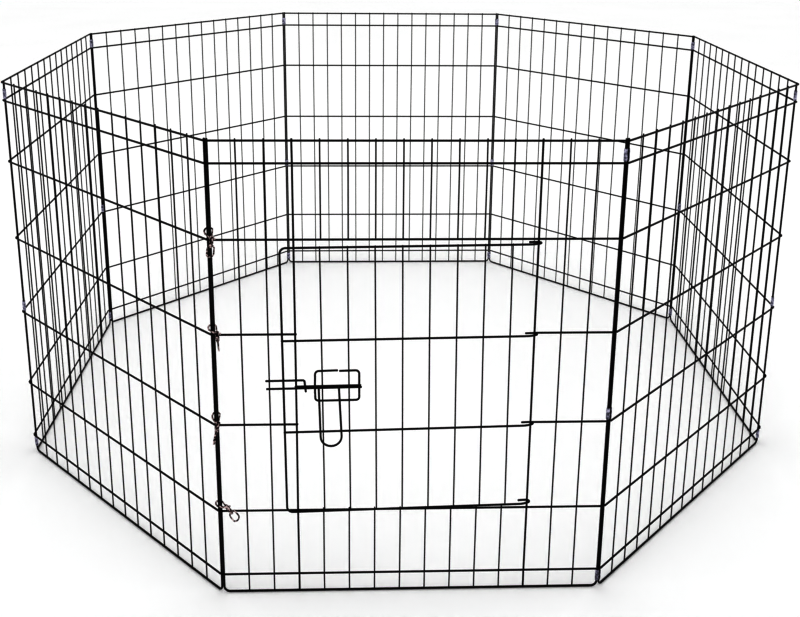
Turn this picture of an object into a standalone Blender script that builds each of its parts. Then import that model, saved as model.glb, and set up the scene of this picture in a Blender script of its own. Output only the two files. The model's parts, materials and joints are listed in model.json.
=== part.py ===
"""Eight-panel folding wire playpen: an octagon of hinged wire panels with a side-hung door.

Metres, +Z up, the floor at z = 0. The pen's centre is at the origin and its door panel
faces -Y. Every panel is laid out in its own plane first: x from its left upright to its
right one, z up, -y outward. It is then turned and moved into its place in the ring.
"""
from math import cos, pi, radians, sin, tan

import bmesh
import bpy
from mathutils import Matrix, Vector

MM = 0.001
GAP = 0.3 * MM            # clearance between pieces that touch

# ring
PANEL_WIDTH = 610 * MM    # between a panel's upright axes
LINK = 4.0 * MM           # between neighbouring upright axes, held by the hinge clips
FRONT_OVERHANG = 15.4 * MM  # the ring stands this far back, so the whole pen is centred
PANELS = ("front", "front_right", "right", "back_right", "back", "back_left", "left", "front_left")

# wires: radius of the round wire each one stands for
UPRIGHT_R = 1.7 * MM
RAIL_R = 1.6 * MM
FILL_R = 1.1 * MM
JAMB_R = 1.55 * MM
DOOR_R = 1.65 * MM
ROD_R = 1.6 * MM
SIX, EIGHT = 6, 8
WELD = 0.35 * MM          # how far crossing wires sink into each other

# panel heights
LEVEL_STEPS = (0, 34, 151, 303, 455, 607, 724, 758)
CORNER_R = 9 * MM         # bend of the frame wire at the floor
SPACES = 15               # fill spaces across a panel
TIED = (1, 5, 10, 14)     # fill wires welded at every rail
MID_SET_OUT = 0.5 * MM    # the middle rails stand this much farther out
JAMBS = (3, 12)           # fill positions of the door jambs

# door, measured from the right jamb's axis, heights from the doorway's lower rail; it hangs out
# of true, so each of its long wires has a height at the jamb and degrees of fall to the latch
DOOR_WIDTH = 382.8 * MM   # at the foot
DOOR_WIRES = ((9.3, 1.45), (148.7, 1.20), (300.8, 0.87), (449.1, 0.70))
DOOR_LEAN = tan(radians(0.45))  # its uprights lean this much away from the hinge
LATCH_FALL = tan(radians(0.9))
DOOR_FILL = tuple(-323.5 + 41.1 * n for n in range(8))
DOOR_CORNER_R = 9 * MM
HOOK_LEG = 14 * MM        # return leg of a door hook behind the jamb

# slide latch, measured in the door's plane
LATCH_HEIGHT = 223.8      # rods above the doorway's lower rail
ROD_SPAN = (77.5, 223.5)  # lower rod, from the panel's left upright
TOP_ROD_START = 121.0
ROD_STEP = 2.9 * MM
PRONG_RISE = 13.4 * MM
PRONG_END = 136.0
GUIDE_SPAN = (152.0, 219.5)
GUIDE_HALF_HEIGHT = 25 * MM
GUIDE_SEAM = (186.7, 189.0)  # the gap where the guide's wire ends meet
HANDLE_LEGS = (157.6, 188.4)
HANDLE_TOP = ROD_STEP + 1.2 * MM
HANDLE_DROP = 98.0 * MM
HANDLE_SWAY = 3.0 * MM    # how far the foot of the U is bent towards the hinge

# hinge clips
CLIP_WALL = 0.9 * MM
CLIP_HEIGHT = 19.5 * MM

# snap hooks: height above a rail, heading from the corner's outward line, droop
SNAPS = ((5, 12.4, 22, 43, 14), (4, 10.0, 35, 27, 95), (3, 13.6, 10, 48, 80), (2, 11.2, 64, 16, 40))
SNAP_WIRE = 1.35 * MM
SNAP_LOOP_R = 6.3 * MM
SNAP_LOOP_SIDE = 5.6 * MM
SNAP_OFFSET = 5.2 * MM   # barrel axis from the middle between the two uprights
BARREL_R = 3.1 * MM
BARREL_SPAN = (8.6 * MM, 21.6 * MM)
BOLT_R = 1.15 * MM
NECK_R = 1.15 * MM
EYE_LENGTH = 15 * MM
EYE_HALF = 5.4 * MM


def polygon_radius(radius, sides):
    """Corner radius of the regular polygon with the same area as the round wire."""
    return radius * (2 * pi / (sides * sin(2 * pi / sides))) ** 0.5


R_UPRIGHT = polygon_radius(UPRIGHT_R, EIGHT)
UPRIGHT_FLAT = R_UPRIGHT * cos(pi / EIGHT)
R_RAIL = polygon_radius(RAIL_R, SIX)
R_FILL = polygon_radius(FILL_R, SIX)
R_JAMB = polygon_radius(JAMB_R, SIX)
R_DOOR = polygon_radius(DOOR_R, SIX)
R_ROD = polygon_radius(ROD_R, SIX)

LEVELS = [UPRIGHT_FLAT + step * MM for step in LEVEL_STEPS]
TOP = LEVELS[-1]
Y_RAIL = -(R_UPRIGHT + GAP + R_RAIL)
Y_FILL = Y_RAIL + R_RAIL + R_FILL - WELD
Y_JAMB = Y_RAIL + R_RAIL + R_JAMB - WELD
Y_DOOR = Y_RAIL - R_RAIL - GAP - R_DOOR
Y_DOOR_FILL = Y_DOOR + R_DOOR + R_FILL - WELD
Y_ROD = Y_DOOR - R_DOOR - GAP - R_ROD
Y_HANDLE = Y_ROD - 2 * R_ROD - GAP - 0.05 * MM
PITCH = PANEL_WIDTH / SPACES
JAMB_LEFT, JAMB_RIGHT = (PITCH * n for n in JAMBS)


def clear_scene():
    for obj in list(bpy.data.objects):
        bpy.data.objects.remove(obj, do_unlink=True)


def new_collection(name):
    made = bpy.data.collections.new(name)
    bpy.context.scene.collection.children.link(made)
    return made


clear_scene()
PEN = new_collection("pet_playpen")
CUTTERS = new_collection("cutters")


def make_material(name, colour, roughness, metallic):
    material = bpy.data.materials.new(name)
    material.use_nodes = True
    shader = material.node_tree.nodes["Principled BSDF"]
    shader.inputs["Base Color"].default_value = (*colour, 1.0)
    shader.inputs["Roughness"].default_value = roughness
    shader.inputs["Metallic"].default_value = metallic
    material.diffuse_color = (*colour, 1.0)
    return material


FINISHES = {
    "black_coating": ((0.018, 0.018, 0.020), 0.38, 0.0),
    "zinc": ((0.33, 0.31, 0.37), 0.42, 0.85),
    "dark_nickel": ((0.20, 0.15, 0.15), 0.30, 0.9),
}


def straight_wire(bm, start, end, radius, sides):
    """A closed prism between two points, with one ridge towards -Y and one towards +Y."""
    start, end = Vector(start), Vector(end)
    run = end - start
    if abs(run.z) > abs(run.x):
        lay = Vector((0, 0, 1)).rotation_difference(run.normalized()).to_matrix().to_4x4()
    else:
        lay = Matrix.Rotation(radians(90), 4, "Y")
    place = Matrix.Translation((start + end) / 2) @ lay
    bmesh.ops.create_cone(bm, cap_ends=True, segments=sides, radius1=radius, radius2=radius,
                          depth=run.length, matrix=place)


def mesh_of(bm, name):
    mesh = bpy.data.meshes.new(name)
    bm.to_mesh(mesh)
    bm.free()
    return mesh


def prisms(name, wires):
    """One mesh holding several separate straight wires: (start, end, radius, sides)."""
    bm = bmesh.new()
    for wire in wires:
        straight_wire(bm, *wire)
    return mesh_of(bm, name)


def bent_wire(name, points, radius, sides=SIX, tilt=0.0, closed=False):
    """A wire swept along a run of points, as a clean closed mesh."""
    curve = bpy.data.curves.new(name, "CURVE")
    curve.dimensions = "3D"
    curve.bevel_depth = radius
    curve.bevel_resolution = (sides - 4) // 2
    curve.use_fill_caps = not closed
    curve.twist_mode = "MINIMUM"
    spline = curve.splines.new("POLY")
    spline.points.add(len(points) - 1)
    spline.use_cyclic_u = closed
    for point, at in zip(spline.points, points):
        point.co = (*at, 1.0)
        point.tilt = tilt
    holder = bpy.data.objects.new(name + "_path", curve)
    CUTTERS.objects.link(holder)
    bpy.context.view_layer.update()
    mesh = bpy.data.meshes.new_from_object(holder)
    bpy.data.objects.remove(holder, do_unlink=True)
    bm = bmesh.new()
    bm.from_mesh(mesh)
    bmesh.ops.remove_doubles(bm, verts=bm.verts, dist=0.001 * MM)
    bmesh.ops.recalc_face_normals(bm, faces=bm.faces)
    bm.to_mesh(mesh)
    bm.free()
    return mesh


def helper(mesh, name):
    """An object that only takes part in a Boolean."""
    obj = bpy.data.objects.new(name, mesh)
    obj.hide_render = True
    obj.display_type = "WIRE"
    CUTTERS.objects.link(obj)
    return obj


def combine(name, base, others, operation="UNION"):
    """The Boolean of a mesh with others, taken in turn, as a new mesh."""
    obj = helper(base, name + "_base")
    added = [helper(mesh, f"{name}_tool_{n}") for n, mesh in enumerate(others)]
    for tool in added:
        step = obj.modifiers.new(tool.name, "BOOLEAN")
        step.operation = operation
        step.solver = "EXACT"
        step.object = tool
    bpy.context.view_layer.update()
    seen = obj.evaluated_get(bpy.context.evaluated_depsgraph_get())
    mesh = bpy.data.meshes.new_from_object(seen)
    mesh.name = name
    for each in [obj] + added:
        bpy.data.objects.remove(each, do_unlink=True)
    return mesh


def add_piece(name, mesh, finish, place, origin=(0, 0, 0), sharp=65):
    """A named object of the pen; its origin is moved to a point of the layout it was made in."""
    mesh = mesh.copy()
    mesh.name = name
    mesh.transform(Matrix.Translation(-Vector(origin)))
    colour, roughness, metallic = FINISHES[finish]
    mesh.materials.clear()
    mesh.materials.append(make_material(name, colour, roughness, metallic))
    for face in mesh.polygons:
        face.use_smooth = True
    mesh.set_sharp_from_angle(angle=radians(sharp))
    obj = bpy.data.objects.new(name, mesh)
    obj.matrix_world = place @ Matrix.Translation(origin)
    PEN.objects.link(obj)
    return obj


def arc(centre, radius, start, end, steps):
    """Points of a circular arc in a plane, angles in degrees."""
    return [(centre[0] + radius * cos(radians(start + (end - start) * n / steps)),
             centre[1] + radius * sin(radians(start + (end - start) * n / steps)))
            for n in range(steps + 1)]


# --- panels -------------------------------------------------------------------------------

def frame_mesh():
    """The heavy wire of a panel: two uprights and the floor wire, bent from one length."""
    left = arc((CORNER_R, LEVELS[0] + CORNER_R), CORNER_R, 180, 270, 3)
    right = arc((PANEL_WIDTH - CORNER_R, LEVELS[0] + CORNER_R), CORNER_R, 270, 360, 3)
    path = [(0, TOP + 3 * MM)] + left + right + [(PANEL_WIDTH, TOP + 3 * MM)]
    return bent_wire("frame", [(x, 0, z) for x, z in path], R_UPRIGHT, EIGHT, tilt=pi / EIGHT)


def rail(level, start, end, set_out=0.0):
    y, z = Y_RAIL - set_out, LEVELS[level]
    return ((start, y, z), (end, y, z), R_RAIL, SIX)


def fill(x, low, high, radius=R_FILL, y=Y_FILL):
    return ((x, y, low), (x, y, high), radius, SIX)


RAIL_LEFT, RAIL_RIGHT = -UPRIGHT_R, PANEL_WIDTH + UPRIGHT_R
FILL_FOOT = LEVELS[0] + R_UPRIGHT + GAP
FILL_HEAD = TOP + R_RAIL + 1.5 * MM


def plain_grid():
    """Rails and fill wires of a panel without a door, welded into one grid."""
    rails = [rail(n, RAIL_LEFT, RAIL_RIGHT, MID_SET_OUT if 1 < n < 6 else 0) for n in range(1, 8)]
    fills = [fill(PITCH * n, FILL_FOOT, FILL_HEAD, y=Y_FILL - (MID_SET_OUT if n in TIED else 0))
             for n in range(1, SPACES)]
    return combine("grid", prisms("rails", rails), [prisms("fills", fills)])


def door_panel_grid():
    """The front grid: its fill wires stop above and below the doorway between the jambs."""
    stub = R_JAMB + 1.5 * MM
    rails = [rail(n, RAIL_LEFT, RAIL_RIGHT) for n in (1, 2, 5, 6, 7)]
    for n in (3, 4):
        rails += [rail(n, RAIL_LEFT, JAMB_LEFT + stub), rail(n, JAMB_RIGHT - stub, RAIL_RIGHT)]
    fills = []
    for n in range(1, SPACES):
        x = PITCH * n
        if n in JAMBS:
            fills.append(fill(x, FILL_FOOT, FILL_HEAD, R_JAMB, Y_JAMB))
        elif JAMBS[0] < n < JAMBS[1]:
            fills.append(fill(x, FILL_FOOT, LEVELS[2] + R_RAIL + MM))
            fills.append(fill(x, LEVELS[5] - R_RAIL - MM, FILL_HEAD))
        else:
            fills.append(fill(x, FILL_FOOT, FILL_HEAD))
    return combine("front_grid", prisms("rails", rails), [prisms("fills", fills)])


def ring_layout():
    """Each panel's left upright and heading, and each corner link's start and heading."""
    at, panels, links = Vector((0, 0)), [], []
    for n in range(len(PANELS)):
        heading, bisector = radians(45 * n), radians(45 * n + 22.5)
        panels.append((at.copy(), heading))
        at += PANEL_WIDTH * Vector((cos(heading), sin(heading)))
        links.append((at.copy(), bisector))
        at += LINK * Vector((cos(bisector), sin(bisector)))
    centre = (panels[0][0] + panels[4][0]) / 2 - Vector((0, FRONT_OVERHANG))
    return [(p - centre, h) for p, h in panels], [(p - centre, h) for p, h in links]


def stand(at, heading, height=0.0):
    return Matrix.Translation((at.x, at.y, height)) @ Matrix.Rotation(heading, 4, "Z")


PANEL_PLACES, LINK_PLACES = ring_layout()
FRONT = stand(*PANEL_PLACES[0])


def build_panels():
    """All eight panels; each but the front one folds about its neighbour's right upright."""
    frame, plain, front = frame_mesh(), plain_grid(), door_panel_grid()
    pivot = (-LINK * cos(radians(22.5)), LINK * sin(radians(22.5)), 0)
    for name, spot in zip(PANELS, PANEL_PLACES):
        place, origin = stand(*spot), (0, 0, 0) if name == "front" else pivot
        grid = front if name == "front" else plain
        add_piece(f"{name}_frame", frame, "black_coating", place, origin)
        add_piece(f"{name}_grid", grid, "black_coating", place, origin)


# --- hinge clips --------------------------------------------------------------------------

def clip_mesh():
    """A strip of sheet rolled around two uprights, drawn in at its waist."""
    inner = R_UPRIGHT + GAP
    outer = inner + CLIP_WALL
    curve = bpy.data.curves.new("clip", "CURVE")
    curve.dimensions = "2D"
    curve.fill_mode = "BOTH"
    curve.extrude = CLIP_HEIGHT / 2
    for radius, waist in ((outer, outer - 0.6 * MM), (inner, None)):
        outline = arc((LINK, 0), radius, -75, 75, 4) + arc((0, 0), radius, 105, 255, 4)
        if waist:
            outline.insert(5, (LINK / 2, waist))
            outline.append((LINK / 2, -waist))
        spline = curve.splines.new("POLY")
        spline.points.add(len(outline) - 1)
        spline.use_cyclic_u = True
        for point, (x, y) in zip(spline.points, outline):
            point.co = (x, y, 0, 1)
    holder = bpy.data.objects.new("clip_path", curve)
    CUTTERS.objects.link(holder)
    bpy.context.view_layer.update()
    mesh = bpy.data.meshes.new_from_object(holder)
    bpy.data.objects.remove(holder, do_unlink=True)
    bm = bmesh.new()
    bm.from_mesh(mesh)
    bmesh.ops.remove_doubles(bm, verts=bm.verts, dist=0.001 * MM)
    bmesh.ops.recalc_face_normals(bm, faces=bm.faces)
    bm.to_mesh(mesh)
    bm.free()
    return mesh


def build_clips():
    half = CLIP_HEIGHT / 2 + GAP
    heights = {"top": LEVELS[6] + R_RAIL + half, "middle": LEVELS[3] + R_RAIL + half,
               "bottom": LEVELS[1] - R_RAIL - 2 * MM - half}
    clip = clip_mesh()
    for n, (at, heading) in enumerate(LINK_PLACES[:7]):
        for where, height in heights.items():
            add_piece(f"clip_{n + 1}_{where}", clip, "zinc", stand(at, heading, height), sharp=50)


# --- door and latch -----------------------------------------------------------------------

DOOR_PLACE = FRONT @ Matrix.Translation((JAMB_RIGHT, 0, LEVELS[2]))


def fall(wire):
    height, degrees = wire
    return height * MM, tan(radians(degrees))


def hook_path(wire):
    """A door wire's end at the jamb: in towards it, half around it and a leg back behind."""
    height, slope = fall(wire)
    reach = R_JAMB + 0.45 * MM + R_DOOR
    turn = arc((0, Y_JAMB), reach, -80, 90, 5)
    flat = [(-16 * MM, Y_DOOR), (-5 * MM, Y_DOOR + 0.9 * MM)] + turn + [(-HOOK_LEG, Y_JAMB + reach)]
    return [(x, y, height + x * slope) for x, y in flat]


def door_bend(wire, turn, start, end):
    """The rounded corner between a door wire and the door's leaning left side."""
    height, slope = fall(wire)
    centre = height + turn * DOOR_CORNER_R - DOOR_WIDTH * slope
    left = -DOOR_WIDTH - centre * DOOR_LEAN
    bend = arc((left + DOOR_CORNER_R, centre), DOOR_CORNER_R, start, end, 3)
    return [(x, Y_DOOR, z) for x, z in bend]


def door_fill(x):
    """A leaning fill wire, its foot held above the doorway's lower rail."""
    (low, low_slope), (high, high_slope) = fall(DOOR_WIRES[0]), fall(DOOR_WIRES[-1])
    foot = max(low + x * low_slope + 0.2 * MM, R_RAIL + GAP)
    head = high + x * high_slope + MM
    return ((x - foot * DOOR_LEAN, Y_DOOR_FILL, foot), (x - head * DOOR_LEAN, Y_DOOR_FILL, head),
            R_FILL, SIX)


def door_mesh():
    foot, *middle, head = DOOR_WIRES
    path = hook_path(head)[::-1] + door_bend(head, -1, 90, 180)
    path += door_bend(foot, 1, 180, 270) + hook_path(foot)
    rails = []
    for wire in middle:
        height, slope = fall(wire)
        end = -DOOR_WIDTH - height * DOOR_LEAN
        rails.append(bent_wire("door_rail", [(end, Y_DOOR, height + end * slope)] + hook_path(wire),
                               R_RAIL))
    fills = prisms("door_fills", [door_fill(x * MM) for x in DOOR_FILL])
    return combine("door", bent_wire("door", path, R_DOOR), rails + [fills])


def along_door(x_from_upright):
    """A distance from the panel's left upright, as a distance from the right jamb."""
    return x_from_upright * MM - JAMB_RIGHT


def bolt_mesh():
    """Two rods lying together and a short upper prong, bent down and welded across them."""
    z = LATCH_HEIGHT * MM
    left, right = (along_door(x) for x in ROD_SPAN)
    lower = prisms("rod", [((left, Y_ROD, z), (right, Y_ROD, z), R_ROD, SIX)])
    upper = prisms("rod", [((along_door(TOP_ROD_START), Y_ROD, z + ROD_STEP),
                            (right - MM, Y_ROD, z + ROD_STEP), R_ROD, SIX)])
    end, front = along_door(PRONG_END), Y_ROD - 2 * R_ROD + WELD
    top = z + PRONG_RISE
    prong = bent_wire("prong", [(left - MM, Y_ROD, top), (end - 6 * MM, Y_ROD, top),
                                (end - 2 * MM, Y_ROD - 0.6 * MM, top - 0.8 * MM),
                                (end + 0.5 * MM, front + 0.6 * MM, top - 4 * MM),
                                (end + MM, front, z + 4 * MM),
                                (end + 2 * MM, front, z - 5 * MM)], R_ROD)
    return combine("bolt", lower, [upper, prong])


def guide_mesh():
    """A wire rectangle fixed to the door, its sides standing out over the rods."""
    z, half = LATCH_HEIGHT * MM + ROD_STEP / 2, GUIDE_HALF_HEIGHT
    left, right = (along_door(x) for x in GUIDE_SPAN)
    back = Y_DOOR_FILL - R_FILL - GAP - R_ROD
    front = Y_ROD - 2 * R_ROD - GAP
    seam_start, seam_end = (along_door(x) for x in GUIDE_SEAM)
    bend = [(6 * MM, half), (2 * MM, half - 1.8 * MM), (0, half - 6 * MM)]
    side = [(left, front, z + 9 * MM), (left, front, z - 9 * MM)]
    path = [(seam_start, back, z + half + 0.5 * MM)]
    path += [(left + x, back, z + rise) for x, rise in bend] + side
    path += [(left + x, back, z - rise) for x, rise in bend[::-1]]
    path += [(right - x, back, z - rise) for x, rise in bend]
    path += [(right, y, h) for _, y, h in side[::-1]]
    path += [(right - x, back, z + rise) for x, rise in bend[::-1]]
    path.append((seam_end, back, z + half - 0.3 * MM))
    return bent_wire("guide", path, R_ROD)


def handle_mesh():
    """A hanging U of wire; its legs lie across the front of both rods."""
    z = LATCH_HEIGHT * MM
    left, right = (along_door(x) for x in HANDLE_LEGS)
    half = (right - left) / 2 + 0.8 * MM
    foot = ((left + right) / 2 + HANDLE_SWAY, z - HANDLE_DROP + half)
    path = [(left, z + HANDLE_TOP)] + arc(foot, half, 180, 360, 6) + [(right, z + HANDLE_TOP)]
    return bent_wire("handle", [(x, Y_HANDLE, h) for x, h in path], R_ROD)


def falling(mesh):
    """A part of the latch, tipped downhill from the jamb as the latch hangs on the door."""
    shear = Matrix.Identity(4)
    shear[2][0] = LATCH_FALL
    mesh.transform(shear)
    return mesh


def build_door():
    hinge, start = (0, Y_JAMB, 0), along_door(ROD_SPAN[0])
    rods = (start, Y_ROD, LATCH_HEIGHT * MM + start * LATCH_FALL)
    for name, mesh, origin in (("door", door_mesh(), hinge),
                               ("latch_guide", falling(guide_mesh()), hinge),
                               ("latch_bolt", falling(bolt_mesh()), rods),
                               ("latch_handle", falling(handle_mesh()), rods)):
        add_piece(name, mesh, "black_coating", DOOR_PLACE, origin)


# --- snap hooks ---------------------------------------------------------------------------

def cylinder(radius, start, end, sides=10):
    """A closed cylinder along x."""
    bm = bmesh.new()
    turn = Matrix.Translation(((start + end) / 2, 0, 0)) @ Matrix.Rotation(radians(90), 4, "Y")
    bmesh.ops.create_cone(bm, cap_ends=True, segments=sides, radius1=radius, radius2=radius,
                          depth=end - start, matrix=turn)
    return mesh_of(bm, "cylinder")


def block(low, high):
    bm = bmesh.new()
    size = Vector(high) - Vector(low)
    place = Matrix.Translation((Vector(low) + Vector(high)) / 2) @ Matrix.Diagonal((*size, 1))
    bmesh.ops.create_cube(bm, size=1, matrix=place)
    return mesh_of(bm, "block")


BOLT_TIP = -1.9 * MM
KNOB_AT = 12.6 * MM
PLUNGE = 4.0 * MM
NECK_END = BARREL_SPAN[1] + 5.9 * MM


def snap_body_mesh():
    """Hook, slotted barrel and the headed neck that the eye turns on."""
    loop = arc((0, -SNAP_LOOP_SIDE), SNAP_LOOP_R, 116, 335, 9)
    loop += [(8.6 * MM, -5.7 * MM), (BARREL_SPAN[0] + 2.8 * MM, -2.4 * MM)]
    hook = bent_wire("hook", [(x, y, 0) for x, y in loop], SNAP_WIRE)
    barrel = cylinder(BARREL_R, *BARREL_SPAN, sides=12)
    neck = cylinder(NECK_R, BARREL_SPAN[1] - MM, NECK_END - MM, 8)
    head = cylinder(2.1 * MM, NECK_END - 1.5 * MM, NECK_END, 8)
    solid = combine("snap", barrel, [hook, neck, head])
    bore = cylinder(BOLT_R + 0.35 * MM, BARREL_SPAN[0] - MM, BARREL_SPAN[1] - 2.5 * MM, 8)
    slot = block((KNOB_AT - 1.5 * MM, 0, -1.3 * MM),
                 (KNOB_AT + PLUNGE + 1.5 * MM, 6 * MM, 1.3 * MM))
    mouth = block((BOLT_TIP - GAP, -BOLT_R - GAP, -3 * MM), (8.3 * MM, 3 * MM, 3 * MM))
    return combine("snap", solid, [mouth, bore, slot], "DIFFERENCE")


def snap_bolt_mesh():
    """The sliding bolt with its thumb knob."""
    rod = cylinder(BOLT_R, BOLT_TIP, KNOB_AT + 2.2 * MM, 8)
    bm = bmesh.new()
    place = Matrix.Translation((KNOB_AT, 3 * MM, 0)) @ Matrix.Rotation(radians(90), 4, "X")
    bmesh.ops.create_cone(bm, cap_ends=True, segments=8, radius1=0.95 * MM, radius2=0.95 * MM,
                          depth=6 * MM, matrix=place)
    knob = mesh_of(bm, "knob")
    return combine("snap_bolt", rod, [knob])


def snap_eye_mesh():
    """The swivel ring and the sleeve it is cast with."""
    start, end = BARREL_SPAN[1] + 0.4 * MM, NECK_END - 1.9 * MM
    sleeve = cylinder(2.75 * MM, start, end, 10)
    bore = cylinder(NECK_R + GAP, start - MM, end + MM, 8)
    far = NECK_END + EYE_LENGTH - EYE_HALF
    half = EYE_HALF
    near = end - 1.2 * MM
    ring = [(near, -2.9 * MM), (near + 1.9 * MM, -5 * MM)]
    ring += arc((far, 0), half, -90, 90, 6) + [(near + 1.9 * MM, 5 * MM), (near, 2.9 * MM)]
    loop = bent_wire("ring", [(x, y, 0) for x, y in ring], 1.15 * MM)
    return combine("snap_eye", combine("snap_eye", sleeve, [loop]), [bore], "DIFFERENCE")


def build_snaps():
    body, bolt, eye = snap_body_mesh(), snap_bolt_mesh(), snap_eye_mesh()
    at, heading = LINK_PLACES[7]
    middle = at + LINK / 2 * Vector((cos(heading), sin(heading)))
    for n, (level, rise, swing, droop, twist) in enumerate(SNAPS, 1):
        outward = heading - radians(90 - swing)
        place = (stand(middle, outward, LEVELS[level] + rise * MM)
                 @ Matrix.Rotation(radians(droop), 4, "Y")
                 @ Matrix.Translation((0, SNAP_OFFSET, 0)))
        add_piece(f"snap_{n}_body", body, "dark_nickel", place, (0, -SNAP_OFFSET, 0), sharp=50)
        add_piece(f"snap_{n}_bolt", bolt, "dark_nickel", place, sharp=50)
        add_piece(f"snap_{n}_eye", eye, "dark_nickel",
                  place @ Matrix.Rotation(radians(twist), 4, "X"), sharp=50)


build_panels()
build_clips()
build_door()
build_snaps()
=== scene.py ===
"""Looks for the octagonal folding wire pet playpen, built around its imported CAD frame.

Metres, +Z up, the door panel faces -Y. Each panel is drawn in its own plane, x from its left
upright to its right one, z up and -y outward, and is then placed where the CAD holds it.
"""

import json
import random
from math import atan2, cos, pi, radians, sin, tan

import bpy
import numpy as np
from mathutils import Matrix, Vector


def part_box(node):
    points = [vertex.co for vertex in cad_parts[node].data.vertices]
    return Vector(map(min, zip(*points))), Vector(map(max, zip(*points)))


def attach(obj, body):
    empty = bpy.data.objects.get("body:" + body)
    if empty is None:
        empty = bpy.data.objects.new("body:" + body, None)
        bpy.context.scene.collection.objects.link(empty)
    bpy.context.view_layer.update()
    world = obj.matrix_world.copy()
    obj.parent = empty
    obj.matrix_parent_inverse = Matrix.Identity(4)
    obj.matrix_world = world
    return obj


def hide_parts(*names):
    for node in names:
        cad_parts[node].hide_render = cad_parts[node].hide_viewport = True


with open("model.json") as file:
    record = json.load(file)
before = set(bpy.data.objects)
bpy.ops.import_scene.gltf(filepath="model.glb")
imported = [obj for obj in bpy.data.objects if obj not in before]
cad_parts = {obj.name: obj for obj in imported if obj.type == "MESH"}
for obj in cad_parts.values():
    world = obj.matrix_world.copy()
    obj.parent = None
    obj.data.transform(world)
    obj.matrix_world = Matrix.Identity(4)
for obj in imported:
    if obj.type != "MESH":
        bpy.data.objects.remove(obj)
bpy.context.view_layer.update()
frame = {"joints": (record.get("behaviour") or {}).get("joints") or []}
joints = {joint["name"]: joint for joint in frame["joints"]}
wobble = random.Random(11)

MM = 0.001
PANELS = ("front", "front_right", "right", "back_right", "back", "back_left", "left", "front_left")
TURN = 22.5               # half the angle between neighbouring panels, in degrees
PANEL_WIDTH = 610 * MM
LINK = 4.0 * MM
SPACES = 15
PITCH = PANEL_WIDTH / SPACES
RISES = (0, 34, 151, 303, 455, 607, 724, 758)
CORNER_R = 9 * MM

# radius of each kind of wire, and the sides it is drawn with
UPRIGHT_R, RAIL_R, FILL_R = 1.7 * MM, 1.6 * MM, 1.1 * MM
JAMB_R, DOOR_R, ROD_R = 1.55 * MM, 1.65 * MM, 1.6 * MM
THICK_SIDES, RAIL_SIDES, FILL_SIDES = 14, 12, 10

BITE = 0.25 * MM          # how far welded wires are pressed into each other
Y_RAIL = -(UPRIGHT_R + RAIL_R - BITE)
Y_FILL = Y_RAIL + RAIL_R + FILL_R - BITE
Y_JAMB = -0.74 * MM
JAMBS = (3, 12)
JAMB_LEFT, JAMB_RIGHT = (PITCH * n for n in JAMBS)

# door, measured from the right jamb's axis, with heights from the doorway's lower rail; it hangs
# out of true, so each long wire has a height in mm at the jamb and degrees of fall to the latch
DOOR_WIDTH = 382.8 * MM   # at the foot
DOOR_LEAN = tan(radians(0.45))  # its upright sides lean this much away from the hinge
DOOR_WIRES = ((9.3, 1.45), (148.7, 1.20), (300.8, 0.87), (449.1, 0.70))
DOOR_FILLS = tuple((-323.5 + 41.1 * n) * MM for n in range(8))
HOOK_LEG = 14 * MM
LEAD = 30 * MM            # straight run of a door wire next to its hook
Y_DOOR = -7.7 * MM

# latch, with distances in mm from the panel's left upright
LATCH_FALL = tan(radians(0.9))
LATCH_RISE = 223.8 * MM
ROD_SPAN = (77.5, 223.5)
TOP_ROD_START = 121
ROD_GAP = 3.0 * MM
PRONG_END = 136
PRONG_RISE = 13.4 * MM
GUIDE_SPAN = (152, 219.5)
GUIDE_SEAM = (187.0, 188.9)
GUIDE_HALF = 25 * MM
GUIDE_BACK = -8.0 * MM
GUIDE_WELDS = (-325.3 * MM, -284.2 * MM)  # on the door's first two fill wires
HANDLE_LEGS = (157.6, 188.4)
HANDLE_DROP = 98 * MM
HANDLE_SWAY = 3 * MM
Y_ROD = -11.5 * MM
Y_HANDLE = -15.3 * MM

LEVEL_0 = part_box("front_frame")[0].z + UPRIGHT_R
LEVELS = [LEVEL_0 + rise * MM for rise in RISES]
TOP = LEVELS[-1]
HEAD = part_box("front_frame")[1].z


# --- mesh code ----------------------------------------------------------------------------

FILLET_STEPS = 6
TIP_SHARE = 0.68          # how much of its radius a wire keeps at a cut end


def fillet(points, radius):
    """The run of points with each corner rounded by an arc, smaller where it would not fit."""
    points = [np.array(p, float) for p in points]
    out = [points[0]]
    for before, at, after in zip(points, points[1:], points[2:]):
        a, b = before - at, after - at
        la, lb = np.linalg.norm(a), np.linalg.norm(b)
        a, b = a / la, b / lb
        turn = pi - np.arccos(np.clip(a @ b, -1, 1))
        if turn < 0.02:
            out.append(at)
            continue
        cut = min(radius * tan(turn / 2), 0.48 * la, 0.48 * lb)
        r = cut / tan(turn / 2)
        middle = (a + b) / np.linalg.norm(a + b)
        centre = at + middle * r / cos(turn / 2)
        start, end = at + a * cut - centre, at + b * cut - centre
        for n in range(FILLET_STEPS + 1):
            t = n / FILLET_STEPS
            out.append(centre + (sin((1 - t) * turn) * start + sin(t * turn) * end) / sin(turn))
    out.append(points[-1])
    return out


def arc(centre, radius, start, end, steps):
    """Points of a circular arc in a plane, angles in degrees."""
    turns = [radians(start + (end - start) * n / steps) for n in range(steps + 1)]
    return [(centre[0] + radius * cos(a), centre[1] + radius * sin(a)) for a in turns]


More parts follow.
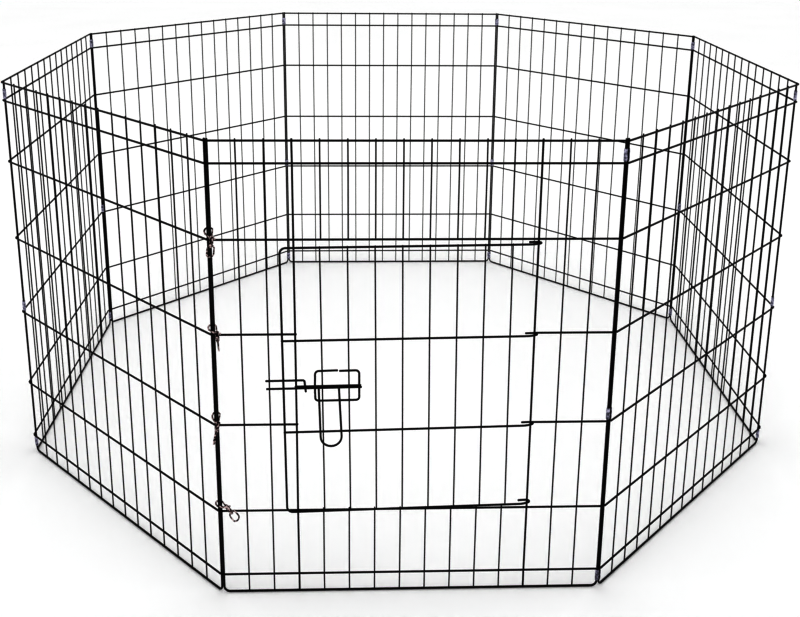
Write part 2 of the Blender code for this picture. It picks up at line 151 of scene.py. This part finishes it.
def unit_ball(segments=8, rings=5):
    """Vertices and faces of a ball, pole to pole, that weld beads are scaled from."""
    verts = [(0, 0, 1)]
    for i in range(1, rings):
        a = pi * i / rings
        verts += [(sin(a) * cos(2 * pi * j / segments), sin(a) * sin(2 * pi * j / segments), cos(a))
                  for j in range(segments)]
    verts.append((0, 0, -1))
    last, faces = len(verts) - 1, []
    for j in range(segments):
        k = (j + 1) % segments
        faces.append((0, 1 + j, 1 + k))
        faces.append((last, last - segments + k, last - segments + j))
        for i in range(rings - 2):
            a = 1 + i * segments
            faces.append((a + j, a + segments + j, a + segments + k, a + k))
    return np.array(verts), faces


def tube_faces(rings, sides):
    """Faces of a capped tube whose vertices come ring by ring."""
    faces = [(i * sides + k, i * sides + (k + 1) % sides,
              (i + 1) * sides + (k + 1) % sides, (i + 1) * sides + k)
             for i in range(rings - 1) for k in range(sides)]
    faces.append(tuple(range(sides))[::-1])
    faces.append(tuple((rings - 1) * sides + k for k in range(sides)))
    return faces


BALL = unit_ball()


class Shape:
    """Gathers the closed shells of one piece."""

    def __init__(self):
        self.verts, self.faces = [], []

    def add(self, verts, faces):
        base = len(self.verts)
        self.verts += [tuple(v) for v in verts]
        self.faces += [tuple(base + i for i in face) for face in faces]

    def wire(self, path, radius, sides, cut=0.35):
        """A round wire along a path; its cut ends are eased. radius may be one value a point."""
        path = [np.array(p, float) for p in path]
        radii = list(radius) if hasattr(radius, "__len__") else [radius] * len(path)
        for end, inward in ((0, 1), (-1, -2)):
            way = path[inward] - path[end]
            way = way / np.linalg.norm(way)
            ring = path[end] + way * radii[end] * cut
            tip = path[end]
            if end == 0:
                path[0:1], radii[0:1] = [tip, ring], [radii[0] * TIP_SHARE, radii[0]]
            else:
                path[-1:], radii[-1:] = [ring, tip], [radii[-1], radii[-1] * TIP_SHARE]
        count = len(path)
        ways = [path[min(i + 1, count - 1)] - path[max(i - 1, 0)] for i in range(count)]
        ways = [w / np.linalg.norm(w) for w in ways]
        side = np.cross(ways[0], (0.31, 0.9, 0.13))
        side /= np.linalg.norm(side)
        verts = []
        for at, way, r in zip(path, ways, radii):
            side = side - way * (side @ way)
            side /= np.linalg.norm(side)
            up = np.cross(way, side)
            verts += [at + r * (cos(a) * side + sin(a) * up)
                      for a in (2 * pi * k / sides for k in range(sides))]
        self.add(verts, tube_faces(count, sides))

    def weld(self, at, size):
        """A small flattened bead where two wires are welded."""
        verts, faces = BALL
        self.add(verts * np.array(size) + np.array(at), faces)

    def turned(self, profile, sides):
        """A solid turned about x from (x, radius) pairs."""
        verts = [(x, r * cos(2 * pi * k / sides), r * sin(2 * pi * k / sides))
                 for x, r in profile for k in range(sides)]
        self.add(verts, tube_faces(len(profile), sides))

    def mesh(self, name):
        mesh = bpy.data.meshes.new(name)
        mesh.from_pydata(self.verts, [], self.faces)
        mesh.validate()
        return mesh


def applied(obj):
    """The object's evaluated mesh; the object itself is removed."""
    bpy.context.view_layer.update()
    seen = obj.evaluated_get(bpy.context.evaluated_depsgraph_get())
    mesh = bpy.data.meshes.new_from_object(seen)
    bpy.data.objects.remove(obj, do_unlink=True)
    return mesh


def loose(mesh):
    obj = bpy.data.objects.new(mesh.name, mesh)
    bpy.context.scene.collection.objects.link(obj)
    return obj


def combined(base, tool, operation):
    obj, other = loose(base), loose(tool)
    step = obj.modifiers.new("step", "BOOLEAN")
    step.operation, step.solver, step.object = operation, "EXACT", other
    mesh = applied(obj)
    bpy.data.objects.remove(other, do_unlink=True)
    return mesh


def put(name, mesh, place, body, nodes, material, sharp=40):
    """Places a mesh as a piece that rides on a body and stands for its CAD nodes."""
    mesh = mesh.copy()
    mesh.name = name
    mesh.transform(place)
    mesh.materials.clear()
    mesh.materials.append(material)
    mesh.polygons.foreach_set("use_smooth", [True] * len(mesh.polygons))
    mesh.set_sharp_from_angle(angle=radians(sharp))
    obj = bpy.data.objects.new(name, mesh)
    bpy.context.scene.collection.objects.link(obj)
    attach(obj, body)
    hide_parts(*nodes)


# --- materials ----------------------------------------------------------------------------

class Nodes:
    """Short ways to add and join the shader nodes of one material."""

    def __init__(self, name):
        self.material = bpy.data.materials.new(name)
        self.material.use_nodes = True
        self.tree = self.material.node_tree
        self.shader = self.tree.nodes["Principled BSDF"]
        self.place = self.tree.nodes.new("ShaderNodeTexCoord").outputs["Object"]

    def join(self, source, target):
        self.tree.links.new(source, target)

    def noise(self, scale, detail, stretch=None):
        node = self.tree.nodes.new("ShaderNodeTexNoise")
        node.inputs["Scale"].default_value = scale
        node.inputs["Detail"].default_value = detail
        source = self.place
        if stretch:
            mapping = self.tree.nodes.new("ShaderNodeMapping")
            mapping.inputs["Scale"].default_value = stretch
            self.join(source, mapping.inputs["Vector"])
            source = mapping.outputs["Vector"]
        self.join(source, node.inputs["Vector"])
        return node.outputs["Fac"]

    def remap(self, source, low, high):
        """Stretches the useful part of a noise over low to high."""
        node = self.tree.nodes.new("ShaderNodeMapRange")
        limits = (("From Min", 0.3), ("From Max", 0.7), ("To Min", low), ("To Max", high))
        for key, value in limits:
            node.inputs[key].default_value = value
        self.join(source, node.inputs["Value"])
        return node.outputs["Result"]

    def ramp(self, source, *stops):
        node = self.tree.nodes.new("ShaderNodeValToRGB")
        ramp = node.color_ramp
        while len(ramp.elements) < len(stops):
            ramp.elements.new(0.5)
        for element, (at, colour) in zip(ramp.elements, stops):
            element.position, element.color = at, (*colour, 1)
        self.join(source, node.inputs["Fac"])
        return node.outputs["Color"]

    def bump(self, source, strength, distance, under=None):
        node = self.tree.nodes.new("ShaderNodeBump")
        node.inputs["Strength"].default_value = strength
        node.inputs["Distance"].default_value = distance
        self.join(source, node.inputs["Height"])
        if under:
            self.join(under, node.inputs["Normal"])
        return node.outputs["Normal"]


def black_coating():
    """Dipped black enamel over steel wire: satin, faintly uneven, with fine orange peel."""
    n = Nodes("black_coating")
    n.join(n.ramp(n.noise(38, 4), (0.35, (0.004, 0.004, 0.0045)), (0.6, (0.009, 0.009, 0.0095)),
                  (0.78, (0.017, 0.016, 0.016))), n.shader.inputs["Base Color"])
    n.join(n.remap(n.noise(210, 3), 0.32, 0.5), n.shader.inputs["Roughness"])
    runs = n.bump(n.noise(160, 2), 0.25, 0.0003)
    n.join(n.bump(n.noise(1500, 2), 0.2, 0.00012, runs), n.shader.inputs["Normal"])
    n.shader.inputs["Specular IOR Level"].default_value = 0.22
    return n.material


def zinc_sheet():
    """Dull passivated zinc on rolled sheet, with rolling lines and cloudy oxide."""
    n = Nodes("zinc_sheet")
    n.join(n.ramp(n.noise(230, 5), (0.38, (0.13, 0.13, 0.16)), (0.50, (0.34, 0.335, 0.42)),
                  (0.62, (0.60, 0.59, 0.69))), n.shader.inputs["Base Color"])
    n.join(n.remap(n.noise(420, 4), 0.30, 0.58), n.shader.inputs["Roughness"])
    lines = n.bump(n.noise(1.0, 3, (2600, 2600, 110)), 0.35, 0.00012)
    n.join(n.bump(n.noise(700, 3), 0.25, 0.0001, lines), n.shader.inputs["Normal"])
    n.shader.inputs["Metallic"].default_value = 0.82
    return n.material


def dark_nickel():
    """Tumbled nickel plate gone brown, with patches of painted pink-silver highlight scattered
    through its colour by noise.
    """
    n = Nodes("dark_nickel")
    # the last, light pink-grey stop paints highlight spots into the colour; the dark and brown
    # stops are the plate's own tone
    n.join(n.ramp(n.noise(300, 5), (0.42, (0.016, 0.012, 0.012)), (0.50, (0.11, 0.082, 0.080)),
                  (0.58, (0.66, 0.56, 0.56))), n.shader.inputs["Base Color"])
    n.join(n.remap(n.noise(500, 3), 0.2, 0.46), n.shader.inputs["Roughness"])
    n.join(n.bump(n.noise(900, 3), 0.35, 0.00012), n.shader.inputs["Normal"])
    n.shader.inputs["Metallic"].default_value = 0.9
    return n.material


BLACK, ZINC, NICKEL = black_coating(), zinc_sheet(), dark_nickel()


# --- panels -------------------------------------------------------------------------------

def stand(x, y, degrees):
    return Matrix.Translation((x, y, 0)) @ Matrix.Rotation(radians(degrees), 4, "Z")


def corner_places():
    """Where the right upright of each panel but the last stands, heading along its corner link."""
    spots = (joints[f"corner_{n}_fold"]["pos_m"] for n in range(1, len(PANELS)))
    return [stand(x, y, 2 * TURN * n - TURN) for n, (x, y, _) in enumerate(spots, 1)]


def panel_places():
    low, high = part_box("front_frame")
    places = [stand((low.x + high.x - PANEL_WIDTH) / 2, (low.y + high.y) / 2, 0)]
    return places + [corner @ stand(LINK, 0, TURN) for corner in CORNERS]


CORNERS = corner_places()
PLACES = panel_places()
FRONT = PLACES[0]


def upright_wire():
    """Both uprights and the floor wire, bent from one heavy wire."""
    shape = Shape()
    path = [(0, 0, HEAD), (0, 0, LEVELS[0]), (PANEL_WIDTH, 0, LEVELS[0]), (PANEL_WIDTH, 0, HEAD)]
    shape.wire(fillet(path, CORNER_R), UPRIGHT_R, THICK_SIDES)
    return shape.mesh("upright_wire")


def weave(shape, rails, fills):
    """Rails of (level, start, end) and fills of (x, low, high, radius, y), welded together."""
    for level, start, end in rails:
        z = LEVELS[level]
        shape.wire([(start, Y_RAIL, z), (end, Y_RAIL, z)], RAIL_R, RAIL_SIDES)
        for x in (0, PANEL_WIDTH):
            if start <= x <= end:
                shape.weld((x, -UPRIGHT_R + 0.1 * MM, z), (1.3 * MM, 0.7 * MM, 1.5 * MM))
    for x, low, high, radius, y in fills:
        crossed = [LEVELS[level] for level, start, end in rails
                   if start <= x <= end and low < LEVELS[level] < high]
        path = [(x, y, low)]
        for z in sorted(crossed):
            path.append((x + wobble.uniform(-0.25, 0.25) * MM, y, z))
            shape.weld((x, Y_RAIL + RAIL_R, z), (1.25 * MM, 0.65 * MM, 1.35 * MM))
        path.append((x, y, high))
        shape.wire(path, radius, FILL_SIDES)


FILL_HEAD = TOP + 2.7 * MM
RAIL_ENDS = (-UPRIGHT_R, PANEL_WIDTH + UPRIGHT_R)


def plain_grid():
    shape = Shape()
    rails = [(n, *RAIL_ENDS) for n in range(1, len(LEVELS))]
    fills = [(PITCH * n, LEVELS[0], FILL_HEAD, FILL_R, Y_FILL) for n in range(1, SPACES)]
    weave(shape, rails, fills)
    return shape.mesh("grid")


def doorway_grid():
    """The front grid: its two middle rails and its fill wires are cut away at the doorway."""
    shape = Shape()
    stub, past_rail = JAMB_R + 1.2 * MM, 2.2 * MM
    rails = [(n, *RAIL_ENDS) for n in (1, 2, 5, 6, 7)]
    for n in (3, 4):
        rails += [(n, RAIL_ENDS[0], JAMB_LEFT + stub), (n, JAMB_RIGHT - stub, RAIL_ENDS[1])]
    fills = []
    for n in range(1, SPACES):
        x = PITCH * n
        if n in JAMBS:
            fills.append((x, LEVELS[0], FILL_HEAD, JAMB_R, Y_JAMB + 0.35 * MM))
        elif JAMBS[0] < n < JAMBS[1]:
            fills.append((x, LEVELS[0], LEVELS[2] + past_rail, FILL_R, Y_FILL))
            fills.append((x, LEVELS[5] - past_rail, FILL_HEAD, FILL_R, Y_FILL))
        else:
            fills.append((x, LEVELS[0], FILL_HEAD, FILL_R, Y_FILL))
    weave(shape, rails, fills)
    return shape.mesh("doorway_grid")


def build_panels():
    for n, (name, place) in enumerate(zip(PANELS, PLACES)):
        grid = doorway_grid() if n == 0 else plain_grid()
        body = f"{name}_panel"
        put(f"{name}_upright_wire", upright_wire(), place, body, [f"{name}_frame"],
            BLACK)
        put(f"{name}_grid_wires", grid, place, body, [f"{name}_grid"], BLACK)


# --- hinge clips --------------------------------------------------------------------------

CLIP_SHEET = 0.8 * MM
CLIP_BORE = 2.0 * MM
CLIP_PINCH = 0.75 * MM    # how far its waist is drawn in
CLIP_SHOULDER = 0.12 * MM
CLIP_EASE = 0.34 * MM     # how far its two ends are drawn in
CLIP_LIP = 0.25 * MM      # how far the sheet's last edge stands off


def clip_mesh(height):
    """Sheet rolled around both uprights, pinched between them, its end standing off its start."""
    mid = CLIP_BORE + CLIP_SHEET / 2
    pinch = mid - CLIP_PINCH
    shoulder, near, far = pinch + CLIP_SHOULDER, LINK * 0.38, LINK * 0.62
    around = arc((LINK, 0), mid, -72, 72, 10)
    around += [(far, shoulder), (LINK / 2, pinch), (near, shoulder)]
    around += arc((0, 0), mid, 108, 252, 10)
    around += [(near, -shoulder), (LINK / 2, -pinch)]
    rows, half = 12, height / 2
    verts, faces = [], []
    count = len(around)
    for i in range(rows + 1):
        t = 2 * i / rows - 1
        ease = CLIP_EASE * max(0.0, abs(t) - 0.72) / 0.28
        for k, (x, y) in enumerate(around):
            way = Vector((x - min(max(x, 0), LINK), y, 0)).normalized()
            lip = CLIP_LIP if k >= count - 3 else 0.0
            shorter = 0.8 * MM if k in (0, count - 1) else 0.0
            verts.append((x - way.x * ease, y - way.y * (ease - lip), t * (half - shorter)))
    for i in range(rows):
        faces += [(i * count + k, i * count + k + 1, (i + 1) * count + k + 1, (i + 1) * count + k)
                  for k in range(count - 1)]
    mesh = bpy.data.meshes.new("clip_sheet")
    mesh.from_pydata(verts, [], faces)
    obj = loose(mesh)
    thick = obj.modifiers.new("thick", "SOLIDIFY")
    thick.thickness, thick.offset, thick.use_even_offset = CLIP_SHEET, 0.0, True
    edge = obj.modifiers.new("edge", "BEVEL")
    edge.width, edge.segments, edge.limit_method = 0.16 * MM, 2, "ANGLE"
    return applied(obj)


def build_clips():
    low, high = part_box("clip_1_top")
    mesh = clip_mesh(high.z - low.z)
    for n, corner in enumerate(CORNERS, 1):
        for where in ("top", "middle", "bottom"):
            low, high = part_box(f"clip_{n}_{where}")
            place = Matrix.Translation((0, 0, (low.z + high.z) / 2)) @ corner
            put(f"clip_{n}_{where}_sheet", mesh, place, f"{PANELS[n]}_panel",
                [f"clip_{n}_{where}"], ZINC)


# --- door and latch -----------------------------------------------------------------------

DOOR_PLACE = FRONT @ Matrix.Translation((JAMB_RIGHT, 0, LEVELS[2]))
LATCH_PLACE = DOOR_PLACE.copy()
LATCH_PLACE[2][0] = LATCH_FALL


def fall(wire):
    return wire[0] * MM, tan(radians(wire[1]))


def hook(wire):
    """A door wire's end at the jamb: drawn in, half round it and back as a short leg."""
    height, slope = fall(wire)
    reach = JAMB_R + 0.5 * MM + DOOR_R
    turn = arc((0, Y_JAMB), reach, -85, 92, 12)
    lead = [(-18 * MM, Y_DOOR), (-11 * MM, Y_DOOR + 0.15 * MM), (-5.5 * MM, Y_DOOR + 1.1 * MM)]
    tail = [(-HOOK_LEG / 2, Y_JAMB + reach - 0.1 * MM), (-HOOK_LEG, Y_JAMB + reach - 0.5 * MM)]
    return [(x, y, height + x * slope) for x, y in lead + turn + tail]


def along(x):
    """A distance from the panel's left upright in mm, as one from the right jamb in metres."""
    return x * MM - JAMB_RIGHT


def at_height(wire, x):
    height, slope = fall(wire)
    return height + x * slope


def far_end(wire):
    """Where a door wire meets the door's leaning left side."""
    left = -DOOR_WIDTH - (wire[0] - 6) * MM * DOOR_LEAN
    return left, Y_DOOR, at_height(wire, left)


def door_wires():
    foot, *middle, head = DOOR_WIRES
    shape = Shape()
    start, end = ((-LEAD, Y_DOOR, at_height(wire, -LEAD)) for wire in (head, foot))
    bend = fillet([start, far_end(head), far_end(foot), end], CORNER_R)
    shape.wire(hook(head)[::-1] + bend[1:-1] + hook(foot), DOOR_R, THICK_SIDES)
    for wire in middle:
        left, y, z = far_end(wire)
        shape.wire([(left - 0.2 * MM, y + 0.1 * MM, z)] + hook(wire), RAIL_R, RAIL_SIDES)
        shape.weld((left, y, z), (2.1 * MM, 1.9 * MM, 1.9 * MM))
    y = Y_DOOR + DOOR_R + FILL_R - BITE
    for x in DOOR_FILLS:
        heights = [at_height(wire, x) for wire in DOOR_WIRES]
        low = max(heights[0] + 0.2 * MM, RAIL_R + 0.5 * MM)
        path = [(x - z * DOOR_LEAN + wobble.uniform(-0.2, 0.2) * MM, y, z)
                for z in (low, heights[1], heights[2], heights[3] + MM)]
        shape.wire(path, FILL_R, FILL_SIDES)
        for z in (max(heights[0] + 0.6 * MM, RAIL_R + 0.3 * MM), *heights[1:]):
            shape.weld((x - z * DOOR_LEAN, Y_DOOR + DOOR_R - 0.2 * MM, z),
                       (1.25 * MM, 0.6 * MM, 1.2 * MM))
    return shape.mesh("door_wires")


def bolt_rods():
    """The bolt: two rods side by side and a short prong bent down across them."""
    shape, z = Shape(), LATCH_RISE
    left, right = (along(x) for x in ROD_SPAN)
    start, end = along(TOP_ROD_START), along(PRONG_END)
    shape.wire([(left, Y_ROD, z), (right, Y_ROD, z)], ROD_R, THICK_SIDES)
    shape.wire([(start, Y_ROD, z + ROD_GAP), (right - MM, Y_ROD, z + ROD_GAP)], ROD_R, THICK_SIDES)
    top, front = z + PRONG_RISE, Y_ROD - 2 * ROD_R + BITE
    prong = [(left - MM, Y_ROD, top), (end, Y_ROD, top), (end + 0.6 * MM, front, top - 5 * MM),
             (end + 2 * MM, front, z - 5 * MM)]
    shape.wire(fillet(prong, 5 * MM), ROD_R, THICK_SIDES)
    for step in (0, ROD_GAP):
        shape.weld((end + 1.5 * MM, (front + Y_ROD) / 2, z + step), (1.5 * MM, 0.8 * MM, 1.2 * MM))
    for x in (start + 3 * MM, right - 4 * MM):
        shape.weld((x, Y_ROD - 0.9 * MM, z + ROD_GAP / 2), (2.6 * MM, 0.6 * MM, 0.7 * MM))
    return shape.mesh("bolt_rods")


def guide_wire():
    """A rectangle of wire welded to the door; its sides stand out over the rods."""
    z, half, back = LATCH_RISE + ROD_GAP / 2, GUIDE_HALF, GUIDE_BACK
    left, right = (along(x) for x in GUIDE_SPAN)
    seam_start, seam_end = (along(x) for x in GUIDE_SEAM)
    front = Y_ROD - 2 * ROD_R - 0.45 * MM
    drop = [(half, back), (half - 11 * MM, back - 2.6 * MM), (8 * MM, front), (-8 * MM, front),
            (11 * MM - half, back - 2.6 * MM), (-half, back)]
    path = [(seam_start, back, z + half + 0.6 * MM)]
    path += [(left, y, z + rise) for rise, y in drop]
    path += [(right, y, z + rise) for rise, y in drop[::-1]]
    path.append((seam_end, back, z + half - 0.4 * MM))
    shape = Shape()
    shape.wire(fillet(path, 6.5 * MM), ROD_R, THICK_SIDES, cut=0.2)
    for x in GUIDE_WELDS:
        for rise in (half, -half):
            shape.weld((x, back + ROD_R - 0.1 * MM, z + rise), (1.2 * MM, 1.0 * MM, 1.3 * MM))
    return shape.mesh("guide_wire")


def handle_wire():
    """A hanging U of wire, its legs welded across the front of both rods."""
    z, shape = LATCH_RISE, Shape()
    left, right = (along(x) for x in HANDLE_LEGS)
    head, half = z + ROD_GAP + 1.1 * MM, (right - left) / 2 + 0.8 * MM
    foot = ((left + right) / 2 + HANDLE_SWAY, z - HANDLE_DROP + half)
    path = [(left, head)] + arc(foot, half, 180, 360, 12) + [(right, head)]
    shape.wire([(x, Y_HANDLE, h) for x, h in path], ROD_R, THICK_SIDES)
    for x in (left, right):
        for step in (0, ROD_GAP):
            shape.weld((x, (Y_HANDLE + Y_ROD) / 2, z + step), (1.4 * MM, 0.8 * MM, 1.1 * MM))
    return shape.mesh("handle_wire")


def build_door():
    put("door_wires", door_wires(), DOOR_PLACE, "door", ["door"], BLACK)
    for name, mesh, body, node in (("latch_guide_wire", guide_wire(), "door", "latch_guide"),
                                   ("latch_bolt_rods", bolt_rods(), "bolt", "latch_bolt"),
                                   ("latch_handle_wire", handle_wire(), "bolt", "latch_handle")):
        put(name, mesh, LATCH_PLACE, body, [node], BLACK)


# --- snap hooks ---------------------------------------------------------------------------

EYE_TWISTS = (14, 95, 80, 40)
LOOP_R, LOOP_SIDE = 6.3 * MM, 5.6 * MM
KNOB_X, PLUNGE = 12.6 * MM, 4.0 * MM
NECK_END = 27.5 * MM


def profile(*pairs):
    return [(x * MM, r * MM) for x, r in pairs]


def turned_mesh(name, pairs, sides):
    shape = Shape()
    shape.turned(profile(*pairs), sides)
    return shape.mesh(name)


def snap_casting():
    """A cast hook that tapers to its tip, a slotted barrel and the neck that the ring turns on."""
    path = arc((0, -LOOP_SIDE), LOOP_R, 114, 335, 24)
    path += [(x * MM, y * MM) for x, y in ((7.6, -6.8), (9.2, -4.9), (10.6, -3.1), (12.6, -1.9))]
    count = len(path)
    radii = [(1.12 + 0.2 * min(1, i / 6) + 0.4 * max(0, i - count + 9) / 9) * MM
             for i in range(count)]
    arm = Shape()
    arm.wire([(x, y, 0) for x, y in path], radii, 16, cut=0.5)
    barrel = ((8.5, 2.2), (8.7, 2.7), (9.2, 3.0), (9.8, 3.1), (12, 3.1), (16.5, 3.0), (19.0, 3.0),
              (19.3, 2.65), (19.9, 2.65), (20.2, 3.0), (21.0, 2.95), (21.5, 2.5), (21.65, 1.15),
              (26.0, 1.15), (26.2, 1.9), (26.6, 2.1), (27.1, 1.95), (27.5, 1.3))
    body = combined(turned_mesh("barrel", barrel, 28), arm.mesh("arm"), "UNION")
    body = combined(body, turned_mesh("bore", ((7.5, 1.42), (18.8, 1.42)), 20), "DIFFERENCE")
    width = 1.2 * MM
    outline = arc((KNOB_X, 0), width, 90, 270, 8) + arc((KNOB_X + PLUNGE, 0), width, -90, 90, 8)
    side, slot = len(outline), Shape()
    faces = [tuple(range(side)), tuple(range(2 * side - 1, side - 1, -1))]
    faces += [(k, side + k, side + (k + 1) % side, (k + 1) % side) for k in range(side)]
    slot.add([(x, y, z) for y in (0, 6 * MM) for x, z in outline], faces)
    body = combined(body, slot.mesh("slot"), "DIFFERENCE")
    return combined(body, turned_mesh("mouth", ((-2.25, 1.5), (8.0, 1.5)), 20), "DIFFERENCE")


def snap_plunger():
    pin = ((-1.95, 0.6), (-1.8, 0.95), (-1.4, 1.14), (14.4, 1.14), (14.6, 1.0))
    knob = ((0, 0.8), (3.1, 0.8), (3.4, 1.2), (3.8, 1.45), (5.1, 1.45), (5.6, 1.25), (5.8, 0.7))
    mesh = turned_mesh("knob", knob, 18)
    mesh.transform(Matrix.Translation((KNOB_X, 0, 0)) @ Matrix.Rotation(radians(90), 4, "Z"))
    return combined(turned_mesh("plunger", pin, 20), mesh, "UNION")


def snap_ring():
    """The swivel: a sleeve around the neck, drawn out into a D-shaped ring."""
    sleeve = ((22.1, 2.0), (22.3, 2.5), (22.8, 2.75), (24.6, 2.75), (25.2, 2.4), (25.4, 2.0))
    half, far = 5.4 * MM, NECK_END + 15 * MM - 5.4 * MM
    ring = [(x * MM, y * MM) for x, y in ((24.0, -2.6), (25.2, -3.6), (26.8, -4.8), (29.5, -5.4))]
    ring += arc((far, 0), half, -90, 90, 16)
    ring += [(x, -y) for x, y in ring[3::-1]]
    loop = Shape()
    loop.wire([(x, y, 0) for x, y in ring], 1.12 * MM, THICK_SIDES)
    whole = combined(turned_mesh("sleeve", sleeve, 24), loop.mesh("ring"), "UNION")
    return combined(whole, turned_mesh("bore", ((21, 1.4), (27, 1.4)), 20), "DIFFERENCE")


def build_snaps():
    casting, plunger, ring = snap_casting(), snap_plunger(), snap_ring()
    for n, twist in enumerate(EYE_TWISTS, 1):
        joint = joints[f"snap_{n}_eye_turn"]
        along_x = Vector(joint["axis"]).normalized()
        heading = atan2(along_x.y, along_x.x)
        across = Vector((-sin(heading), cos(heading), 0))
        turn = Matrix((along_x, across, along_x.cross(across))).transposed().to_4x4()
        place = Matrix.Translation(joint["pos_m"]) @ turn
        put(f"snap_{n}_casting", casting, place, f"snap_{n}", [f"snap_{n}_body"],
            NICKEL, 35)
        put(f"snap_{n}_plunger_pin", plunger, place, f"snap_{n}_plunger", [f"snap_{n}_bolt"],
            NICKEL, 35)
        put(f"snap_{n}_ring", ring, place @ Matrix.Rotation(radians(twist), 4, "X"),
            f"snap_{n}_swivel", [f"snap_{n}_eye"], NICKEL, 35)


build_panels()
build_clips()
build_door()
build_snaps()


# --- floor, light and camera --------------------------------------------------------------

def build_floor():
    size = 40.0
    mesh = bpy.data.meshes.new("studio_floor")
    mesh.from_pydata([(-size, -size, 0), (size, -size, 0), (size, size, 0), (-size, size, 0)], [],
                     [(0, 1, 2, 3)])
    floor = bpy.data.objects.new("studio_floor", mesh)
    floor.location.z = -0.0004
    bpy.context.scene.collection.objects.link(floor)
    n = Nodes("studio_floor")
    n.join(n.ramp(n.noise(1.5, 2), (0.3, (0.925, 0.925, 0.925)), (0.7, (0.94, 0.94, 0.94))),
           n.shader.inputs["Base Color"])
    n.shader.inputs["Roughness"].default_value = 0.9
    n.shader.inputs["Specular IOR Level"].default_value = 0.1
    mesh.materials.append(n.material)


def soft_light(name, location, target, size, power):
    data = bpy.data.lights.new(name, "AREA")
    data.shape, data.size, data.energy = "DISK", size, power
    light = bpy.data.objects.new(name, data)
    light.location = location
    light.rotation_euler = (Vector(target) - Vector(location)).to_track_quat("-Z", "Y").to_euler()
    bpy.context.scene.collection.objects.link(light)


def build_light():
    world = bpy.data.worlds.new("studio")
    world.use_nodes = True
    background = world.node_tree.nodes["Background"]
    background.inputs["Color"].default_value = (1, 1, 1, 1)
    background.inputs["Strength"].default_value = 1.065
    bpy.context.scene.world = world
    soft_light("overhead", (0.4, -0.6, 4.2), (0, 0, 0), 4.5, 12)
    soft_light("left_front", (-3.0, -3.4, 2.6), (0, 0, 0.4), 2.2, 12)
    view = bpy.context.scene.view_settings
    view.view_transform, view.gamma = "Standard", 0.45


PICTURE_WIDTH = 800
FOCAL = 1004.34           # this and the shift are in pixels of the picture
RISE_SHIFT = 158.0
EYE = (-0.0796, -2.1351, 1.1155)
PITCH_DOWN, YAW, ROLL = 14.7548, -2.1748, -0.5592


def build_camera():
    data = bpy.data.cameras.new("camera")
    data.sensor_width = 36.0
    data.lens = FOCAL * data.sensor_width / PICTURE_WIDTH
    data.shift_y = -RISE_SHIFT / PICTURE_WIDTH
    camera = bpy.data.objects.new("camera", data)
    camera.matrix_world = (Matrix.Translation(EYE) @ Matrix.Rotation(radians(YAW), 4, "Z")
                           @ Matrix.Rotation(radians(90 - PITCH_DOWN), 4, "X")
                           @ Matrix.Rotation(radians(-ROLL), 4, "Z"))
    bpy.context.scene.collection.objects.link(camera)
    bpy.context.scene.camera = camera


build_floor()
build_light()
build_camera()
